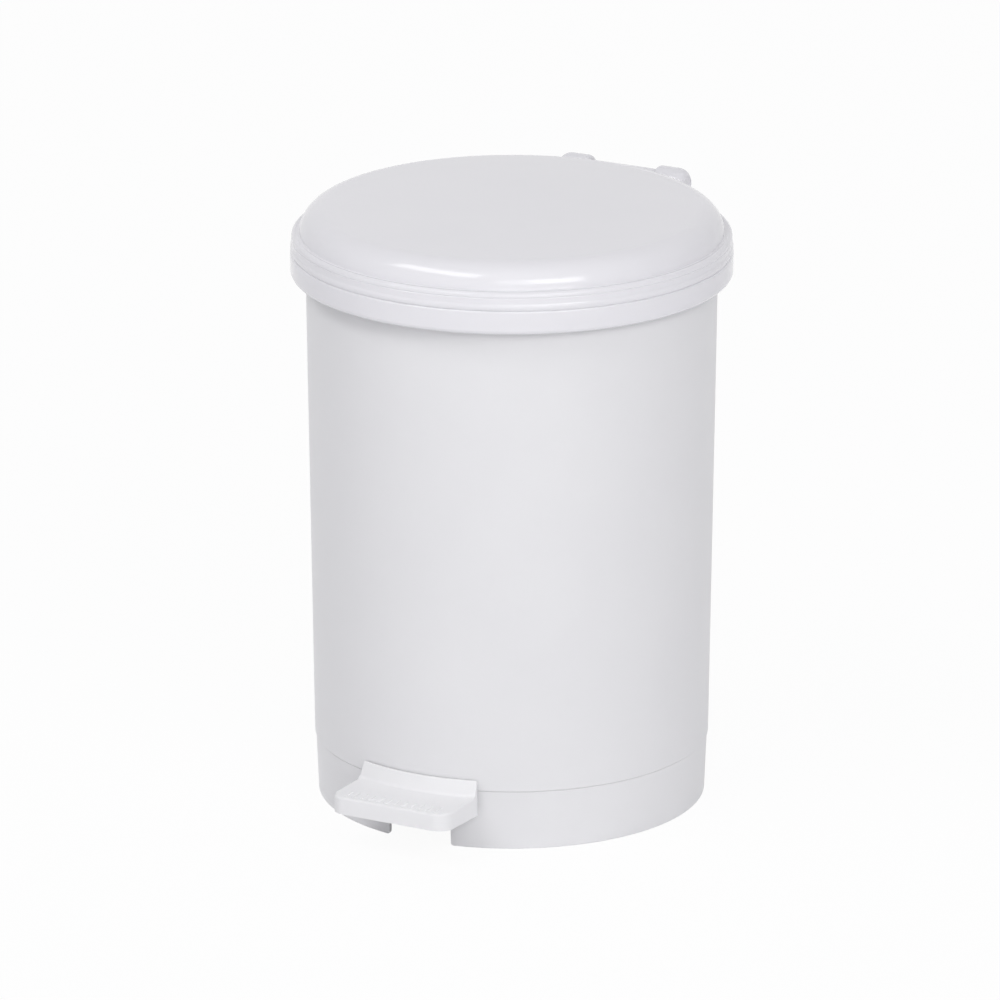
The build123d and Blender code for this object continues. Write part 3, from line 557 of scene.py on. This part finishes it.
def trim(bm, place, outwards):
    """Cuts off what lies beyond a plane and closes the cut."""
    bmesh.ops.bisect_plane(bm, geom=bm.verts[:] + bm.edges[:] + bm.faces[:], dist=WELD / 10,
                           plane_co=place, plane_no=outwards, clear_outer=True)
    bmesh.ops.holes_fill(bm, edges=[edge for edge in bm.edges if edge.is_boundary], sides=0)
    bmesh.ops.recalc_face_normals(bm, faces=bm.faces[:])


def boss(y, low, high):
    """A post under the tread that takes a screw."""
    radius, foot_round = 3.2 * MM, 0.2 * MM
    corners = [(0, low, 0), (radius, low, foot_round), (radius, high, 0), (0, high, 0)]
    post = lathe(corners, False, SMALL_STEPS)
    bmesh.ops.translate(post, vec=(0, y, 0), verts=post.verts[:])
    return post


def grip_bars(half, front, tread):
    """A row of short raised bars along the tread's front edge."""
    length, width, height, inset, count = 8 * MM, 2 * MM, 0.6 * MM, 3.6 * MM, 12
    bar_round, bar_steps = 0.5 * MM, 3
    y = front + inset + length / 2
    bars = []
    for step in range(count):
        x = -half + 2 * half * step / (count - 1)
        grip = block((x - width / 2, y - length / 2, tread - height),
                     (x + width / 2, y + length / 2, tread + height))
        upper = [edge for edge in grip.edges if max(vert.co.z for vert in edge.verts) > tread]
        bars.append(soften(grip, upper, bar_round, bar_steps))
    return bars


# Bucket

def make_bucket():
    thick, gap, taper = 2 * MM, 2.5 * MM, 8.5 * MM
    foot_round, rim_edge = 8 * MM, 0.7 * MM
    top_radius = ledge_radius - gap
    foot_radius = top_radius - taper
    rim = seat + thick
    flange_radius = bucket_high.x
    shell = lathe([
        (0, bucket_low.z, 0),
        (foot_radius, bucket_low.z, foot_round),
        (top_radius, seat, EDGE),
        (flange_radius, seat, EDGE),
        (flange_radius, rim, rim_edge),
        (top_radius - thick, rim, rim_edge),
        (foot_radius - thick, bucket_low.z + thick, foot_round - thick),
        (0, bucket_low.z + thick, 0),
    ], False)
    flat_gap = 0.5 * MM
    rear_flat = block((-flange_radius, top_radius + flat_gap, seat - thick),
                      (flange_radius, collar_radius, rim + thick))
    ear_half, ear_thick, ear_round, ear_steps = 6 * MM, 5 * MM, 5.7 * MM, 16
    bail_bore_radius = 1.87 * MM
    ear_x = (top_radius + flange_radius) / 2
    ear_top = bail_axis.z + ear_half
    crown = [(y, z) for y, z, rounding in arc((0, ear_top - ear_round), ear_round, 0, 180, ear_steps)]
    ear = plate([(-ear_half, rim - thick / 2), (ear_half, rim - thick / 2)] + crown,
                ear_x - ear_thick / 2, ear_x + ear_thick / 2)
    ears = together([mirrored(ear.copy(), side) for side in (-1, 1)])
    bail_bore = bar(bail_bore_radius, -flange_radius, flange_radius, 0, bail_axis.z)
    return moulded("bucket_shell", "bucket", "inner_bucket", shell,
                   [(CUT, rear_flat), (JOIN, ears), (CUT, bail_bore)])


drum = make_drum()
base = make_base()
collar = make_collar()
lid = make_lid()
pedal = make_pedal()
bucket = make_bucket()


# Finishes

MID_LOW, MID_HIGH = 0.3, 0.7                    # most of a cloudy pattern lies between these


def pattern(tree, scale, detail, stretch=(1, 1, 1)):
    """A cloudy 0 to 1 pattern on the piece's own coordinates, stretched where that is asked for."""
    place = tree.nodes.new("ShaderNodeTexCoord")
    spread = tree.nodes.new("ShaderNodeMapping")
    spread.inputs["Scale"].default_value = stretch
    noise = tree.nodes.new("ShaderNodeTexNoise")
    noise.inputs["Scale"].default_value = scale
    noise.inputs["Detail"].default_value = detail
    tree.links.new(place.outputs["Object"], spread.inputs["Vector"])
    tree.links.new(spread.outputs["Vector"], noise.inputs["Vector"])
    return noise.outputs["Fac"]


def spread_over(tree, amount, low, high):
    """The middle of a pattern spread over a range of values."""
    spread = tree.nodes.new("ShaderNodeMapRange")
    spread.inputs["From Min"].default_value = MID_LOW
    spread.inputs["From Max"].default_value = MID_HIGH
    spread.inputs["To Min"].default_value = low
    spread.inputs["To Max"].default_value = high
    tree.links.new(amount, spread.inputs["Value"])
    return spread.outputs["Result"]


def shades(tree, amount, dark, light):
    """A pattern drawn between two colours."""
    ramp = tree.nodes.new("ShaderNodeValToRGB")
    ramp.color_ramp.elements[0].position = MID_LOW
    ramp.color_ramp.elements[0].color = (*dark, 1)
    ramp.color_ramp.elements[1].position = MID_HIGH
    ramp.color_ramp.elements[1].color = (*light, 1)
    tree.links.new(amount, ramp.inputs["Fac"])
    return ramp.outputs["Color"]


def relief(tree, amount, depth, under=None):
    """Bumps of a real depth, on top of other bumps where those are given."""
    bump = tree.nodes.new("ShaderNodeBump")
    bump.inputs["Strength"].default_value = 1
    bump.inputs["Distance"].default_value = depth
    tree.links.new(amount, bump.inputs["Height"])
    if under:
        tree.links.new(under, bump.inputs["Normal"])
    return bump.outputs["Normal"]


def finish(name, dark, light, rough, grain, wave, tone_scale=14, stretch=(1, 1, 1), metallic=0):
    """A surface whose tone, roughness and relief vary. Grain and wave are pairs of scale and depth."""
    material = bpy.data.materials.new(name)
    material.use_nodes = True
    tree = material.node_tree
    shader = tree.nodes["Principled BSDF"]
    tone = pattern(tree, tone_scale, detail=4, stretch=stretch)
    fine = pattern(tree, grain[0], detail=2, stretch=stretch)
    slow = pattern(tree, wave[0], detail=1, stretch=stretch)
    tree.links.new(shades(tree, tone, dark, light), shader.inputs["Base Color"])
    tree.links.new(spread_over(tree, tone, *rough), shader.inputs["Roughness"])
    tree.links.new(relief(tree, fine, grain[1], relief(tree, slow, wave[1])), shader.inputs["Normal"])
    shader.inputs["Metallic"].default_value = metallic
    return material


finishes = {
    "white_satin": finish("satin_white_plastic", (0.815, 0.815, 0.828), (0.834, 0.834, 0.845),
                          (0.36, 0.44), (1500, 0.006 * MM), (9, 0.06 * MM)),
    "white_gloss": finish("gloss_white_plastic", (0.822, 0.817, 0.848), (0.836, 0.831, 0.86),
                          (0.10, 0.14), (420, 0.0012 * MM), (12, 0.05 * MM)),
    "white_pedal": finish("grained_white_plastic", (0.875, 0.875, 0.885), (0.895, 0.895, 0.905),
                          (0.46, 0.56), (1100, 0.02 * MM), (15, 0.03 * MM)),
    "bucket_grey": finish("grey_bucket_plastic", (0.19, 0.20, 0.215), (0.22, 0.225, 0.24), (0.34, 0.46),
                          (1300, 0.01 * MM), (10, 0.08 * MM)),
    "nylon": finish("natural_nylon", (0.66, 0.65, 0.60), (0.72, 0.71, 0.66), (0.34, 0.46),
                    (900, 0.006 * MM), (30, 0.02 * MM), tone_scale=60),
    "steel": finish("drawn_steel", (0.50, 0.50, 0.51), (0.62, 0.62, 0.63), (0.24, 0.40),
                    (700, 0.004 * MM), (60, 0.004 * MM), tone_scale=90, stretch=(0.1, 1, 1), metallic=1),
    "zinc_screw": finish("zinc_plated_steel", (0.58, 0.59, 0.60), (0.70, 0.70, 0.69), (0.26, 0.38),
                         (1200, 0.004 * MM), (120, 0.004 * MM), tone_scale=200, metallic=1),
    "soft_rubber": finish("pale_soft_rubber", (0.40, 0.40, 0.41), (0.46, 0.46, 0.47), (0.62, 0.76),
                          (1600, 0.015 * MM), (60, 0.02 * MM), tone_scale=80),
}
for piece, slot in ((drum, "white_satin"), (base, "white_satin"), (collar, "white_gloss"),
                    (lid, "white_gloss"), (pedal, "white_pedal"), (bucket, "bucket_grey")):
    piece.data.materials.clear()
    piece.data.materials.append(finishes[slot])
for subpart in frame["record"]["subparts"]:
    node = cad_nodes[subpart["node"]]
    for place in node.material_slots:
        place.material = finishes[subpart["material_slot"]]


# Studio

camera_azimuth, camera_elevation = 28.4, 17.79      # degrees
camera_distance = 6.0                               # metres
lens_length, sensor_width = 352, 36                 # millimetres
view_height = 0.1845                                # level that the camera and the lamps point at
view_left = 7.2 * MM                                # the bin stands a little right of the middle
room_tint, room_strength = (0.975, 0.965, 1.0, 1), 0.41
backdrop_white, backdrop_strength = (1, 1, 1, 1), 1
floor_white, floor_roughness, floor_shine = (0.93, 0.93, 0.94, 1), 0.9, 0.1
floor_reach, floor_glow = 6.0, 0.95


def direction(azimuth, elevation):
    """From the bin towards a place at these angles; azimuth 0 is straight in front of the pedal."""
    a, e = radians(azimuth), radians(elevation)
    return Vector((sin(a) * cos(e), -cos(a) * cos(e), sin(e)))


def aim(item, place, target):
    """Puts a camera or a lamp at a place and points it at its target."""
    item.location = place
    item.rotation_euler = (place - target).to_track_quat("Z", "Y").to_euler()


def make_camera():
    lens = bpy.data.cameras.new("camera")
    lens.lens = lens_length
    lens.sensor_width = sensor_width
    camera = bpy.data.objects.new("camera", lens)
    bpy.context.scene.collection.objects.link(camera)
    right = direction(camera_azimuth + 90, 0)
    target = Vector((0, 0, view_height)) - right * view_left
    aim(camera, target + direction(camera_azimuth, camera_elevation) * camera_distance, target)
    bpy.context.scene.camera = camera


def softbox(name, turned, elevation, distance, width, height, power, reflected=True):
    """A soft lamp, turned to the right from the camera. Glossy surfaces mirror it if it is reflected."""
    lamp = bpy.data.lights.new(name, "AREA")
    lamp.shape = "RECTANGLE"
    lamp.size = width
    lamp.size_y = height
    lamp.energy = power
    item = bpy.data.objects.new(name, lamp)
    item.visible_glossy = reflected
    bpy.context.scene.collection.objects.link(item)
    middle = Vector((0, 0, view_height))
    aim(item, middle + direction(camera_azimuth + turned, elevation) * distance, middle)


def seen_directly(tree):
    """1 on camera, mirror and see-through rays, and 0 on the rays that light the bin."""
    path = tree.nodes.new("ShaderNodeLightPath")
    total = path.outputs["Is Camera Ray"]
    for ray in ("Is Glossy Ray", "Is Transmission Ray"):
        most = tree.nodes.new("ShaderNodeMath")
        most.operation = "MAXIMUM"
        tree.links.new(total, most.inputs[0])
        tree.links.new(path.outputs[ray], most.inputs[1])
        total = most.outputs[0]
    return total


def make_world():
    """A room that is white where it is seen and dimmer on the rays that light the bin."""
    world = bpy.data.worlds.new("studio")
    world.use_nodes = True
    bpy.context.scene.world = world
    tree = world.node_tree
    room = tree.nodes["Background"]
    room.inputs["Color"].default_value = room_tint
    room.inputs["Strength"].default_value = room_strength
    backdrop = tree.nodes.new("ShaderNodeBackground")
    backdrop.inputs["Color"].default_value = backdrop_white
    backdrop.inputs["Strength"].default_value = backdrop_strength
    choice = tree.nodes.new("ShaderNodeMixShader")
    tree.links.new(seen_directly(tree), choice.inputs["Fac"])
    tree.links.new(room.outputs[0], choice.inputs[1])
    tree.links.new(backdrop.outputs[0], choice.inputs[2])
    tree.links.new(choice.outputs[0], tree.nodes["World Output"].inputs["Surface"])


def make_floor():
    """White paper that glows where it is seen, so that the bin's shadow on it stays faint."""
    bm = bmesh.new()
    bmesh.ops.create_grid(bm, x_segments=1, y_segments=1, size=floor_reach)
    floor = as_object(bm, "studio_floor")
    material = bpy.data.materials.new("white_floor")
    material.use_nodes = True
    tree = material.node_tree
    paper = tree.nodes["Principled BSDF"]
    paper.inputs["Base Color"].default_value = floor_white
    paper.inputs["Roughness"].default_value = floor_roughness
    paper.inputs["Specular IOR Level"].default_value = floor_shine
    glow = tree.nodes.new("ShaderNodeEmission")
    glow.inputs["Strength"].default_value = 1
    share = tree.nodes.new("ShaderNodeMath")
    share.operation = "MULTIPLY"
    share.inputs[1].default_value = floor_glow
    mix = tree.nodes.new("ShaderNodeMixShader")
    tree.links.new(seen_directly(tree), share.inputs[0])
    tree.links.new(share.outputs[0], mix.inputs["Fac"])
    tree.links.new(paper.outputs[0], mix.inputs[1])
    tree.links.new(glow.outputs[0], mix.inputs[2])
    tree.links.new(mix.outputs[0], tree.nodes["Material Output"].inputs["Surface"])
    floor.data.materials.append(material)


make_camera()
make_world()
make_floor()
softbox("front_softbox", turned=15, elevation=31, distance=2.8, width=2.0, height=0.9, power=10.5)
softbox("low_softbox", turned=9, elevation=3, distance=2.8, width=2.4, height=0.5, power=7.6)
softbox("right_softbox", turned=26, elevation=33, distance=2.4, width=1.1, height=0.75, power=6.8)
softbox("left_softbox", turned=-53, elevation=54, distance=2.4, width=1.7, height=0.6, power=13.5)
softbox("high_softbox", turned=0, elevation=58, distance=2.6, width=1.6, height=1.0, power=1.6)
for name, side in (("rear_right_fill", 1), ("rear_left_fill", -1)):
    softbox(name, turned=148 * side, elevation=20, distance=3.0, width=1.6, height=1.2, power=6,
            reflected=False)
bpy.context.scene.view_settings.view_transform = "Standard"
